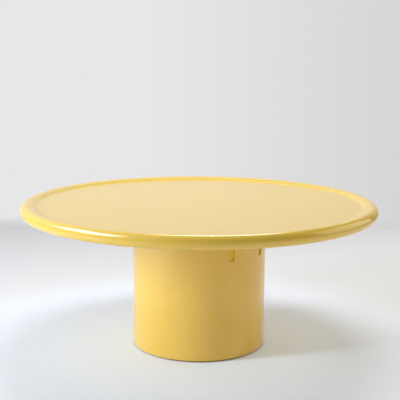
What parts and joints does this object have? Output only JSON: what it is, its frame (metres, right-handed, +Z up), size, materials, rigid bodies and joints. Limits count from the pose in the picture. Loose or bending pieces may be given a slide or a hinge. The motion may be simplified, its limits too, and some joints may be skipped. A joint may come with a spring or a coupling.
{
  "type": "round cocktail table",
  "caption": "Low round table: glossy disc top with a rounded rim round a slightly recessed field, on one plain drum pedestal with levelling feet.",
  "frame": {"origin": "on the floor under the middle of the top", "axes": "+Z up; -Y towards the viewer of the picture, +X to that viewer's right; the bearers run 45 degrees between +X and -Y"},
  "size_m": [1, 1, 0.415],
  "materials": {
    "lacquered_top": "high-gloss pale yellow lacquer over fibreboard",
    "lacquered_drum": "high-gloss pale yellow lacquer over bent plywood",
    "bare_board": "bare fibreboard and plywood",
    "zinc_steel": "zinc-plated",
    "cast_ballast": "as cast, primed black",
    "nylon_pad": "matt black nylon"
  },
  "bodies": {
    "table": {"top_panel": "lacquered_top", "backing_panel": "lacquered_top", "rim_segment_1": "lacquered_top", "rim_segment_2": "lacquered_top", "rim_segment_3": "lacquered_top", "rim_segment_4": "lacquered_top", "rim_segment_5": "lacquered_top", "rim_segment_6": "lacquered_top", "rim_segment_7": "lacquered_top", "rim_segment_8": "lacquered_top", "drum_half_1": "lacquered_drum", "drum_half_2": "lacquered_drum", "bearer_1": "lacquered_drum", "bearer_2": "lacquered_drum", "rim_splines": "bare_board", "spreader_block": "bare_board", "upper_former": "bare_board", "seam_batten_1": "bare_board", "seam_batten_2": "bare_board", "base_disc": "bare_board", "block_screws": "zinc_steel", "cleat_1": "zinc_steel", "cleat_2": "zinc_steel", "cleat_3": "zinc_steel", "cleat_4": "zinc_steel", "cleat_side_screws": "zinc_steel", "cleat_top_screws": "zinc_steel", "tie_rod": "zinc_steel", "tie_rod_nuts": "zinc_steel", "tie_rod_washers": "zinc_steel", "ballast_screws": "zinc_steel", "leveller_inserts": "zinc_steel", "ballast_plate": "cast_ballast"},
    "foot_pad_1": {"leveller_pad_1": "nylon_pad"},
    "foot_pad_2": {"leveller_pad_2": "nylon_pad"},
    "foot_pad_3": {"leveller_pad_3": "nylon_pad"},
    "foot_pad_4": {"leveller_pad_4": "nylon_pad"},
    "foot_stem_1": {"leveller_stem_1": "zinc_steel"},
    "foot_stem_2": {"leveller_stem_2": "zinc_steel"},
    "foot_stem_3": {"leveller_stem_3": "zinc_steel"},
    "foot_stem_4": {"leveller_stem_4": "zinc_steel"}
  },
  "joints": [
    {"name": "foot_1_travel", "type": "slide", "parent": "table", "child": "foot_pad_1", "axis": [0, 0, -1], "range_m": [0, 0.01]},
    {"name": "foot_1_turn", "type": "hinge", "parent": "foot_pad_1", "child": "foot_stem_1", "pos_m": [0.145, 0, 0.008], "axis": [0, 0, -1], "range_deg": [0, 2400]},
    {"name": "foot_2_travel", "type": "slide", "parent": "table", "child": "foot_pad_2", "axis": [0, 0, -1], "range_m": [0, 0.01]},
    {"name": "foot_2_turn", "type": "hinge", "parent": "foot_pad_2", "child": "foot_stem_2", "pos_m": [0, 0.145, 0.008], "axis": [0, 0, -1], "range_deg": [0, 2400]},
    {"name": "foot_3_travel", "type": "slide", "parent": "table", "child": "foot_pad_3", "axis": [0, 0, -1], "range_m": [0, 0.01]},
    {"name": "foot_3_turn", "type": "hinge", "parent": "foot_pad_3", "child": "foot_stem_3", "pos_m": [-0.145, 0, 0.008], "axis": [0, 0, -1], "range_deg": [0, 2400]},
    {"name": "foot_4_travel", "type": "slide", "parent": "table", "child": "foot_pad_4", "axis": [0, 0, -1], "range_m": [0, 0.01]},
    {"name": "foot_4_turn", "type": "hinge", "parent": "foot_pad_4", "child": "foot_stem_4", "pos_m": [0, -0.145, 0.008], "axis": [0, 0, -1], "range_deg": [0, 2400]}
  ],
  "couplings": [
    {"joint": "foot_1_turn", "follows": "foot_1_travel", "rad_per_m": 4188.8},
    {"joint": "foot_2_turn", "follows": "foot_2_travel", "rad_per_m": 4188.8},
    {"joint": "foot_3_turn", "follows": "foot_3_travel", "rad_per_m": 4188.8},
    {"joint": "foot_4_turn", "follows": "foot_4_travel", "rad_per_m": 4188.8}
  ]
}
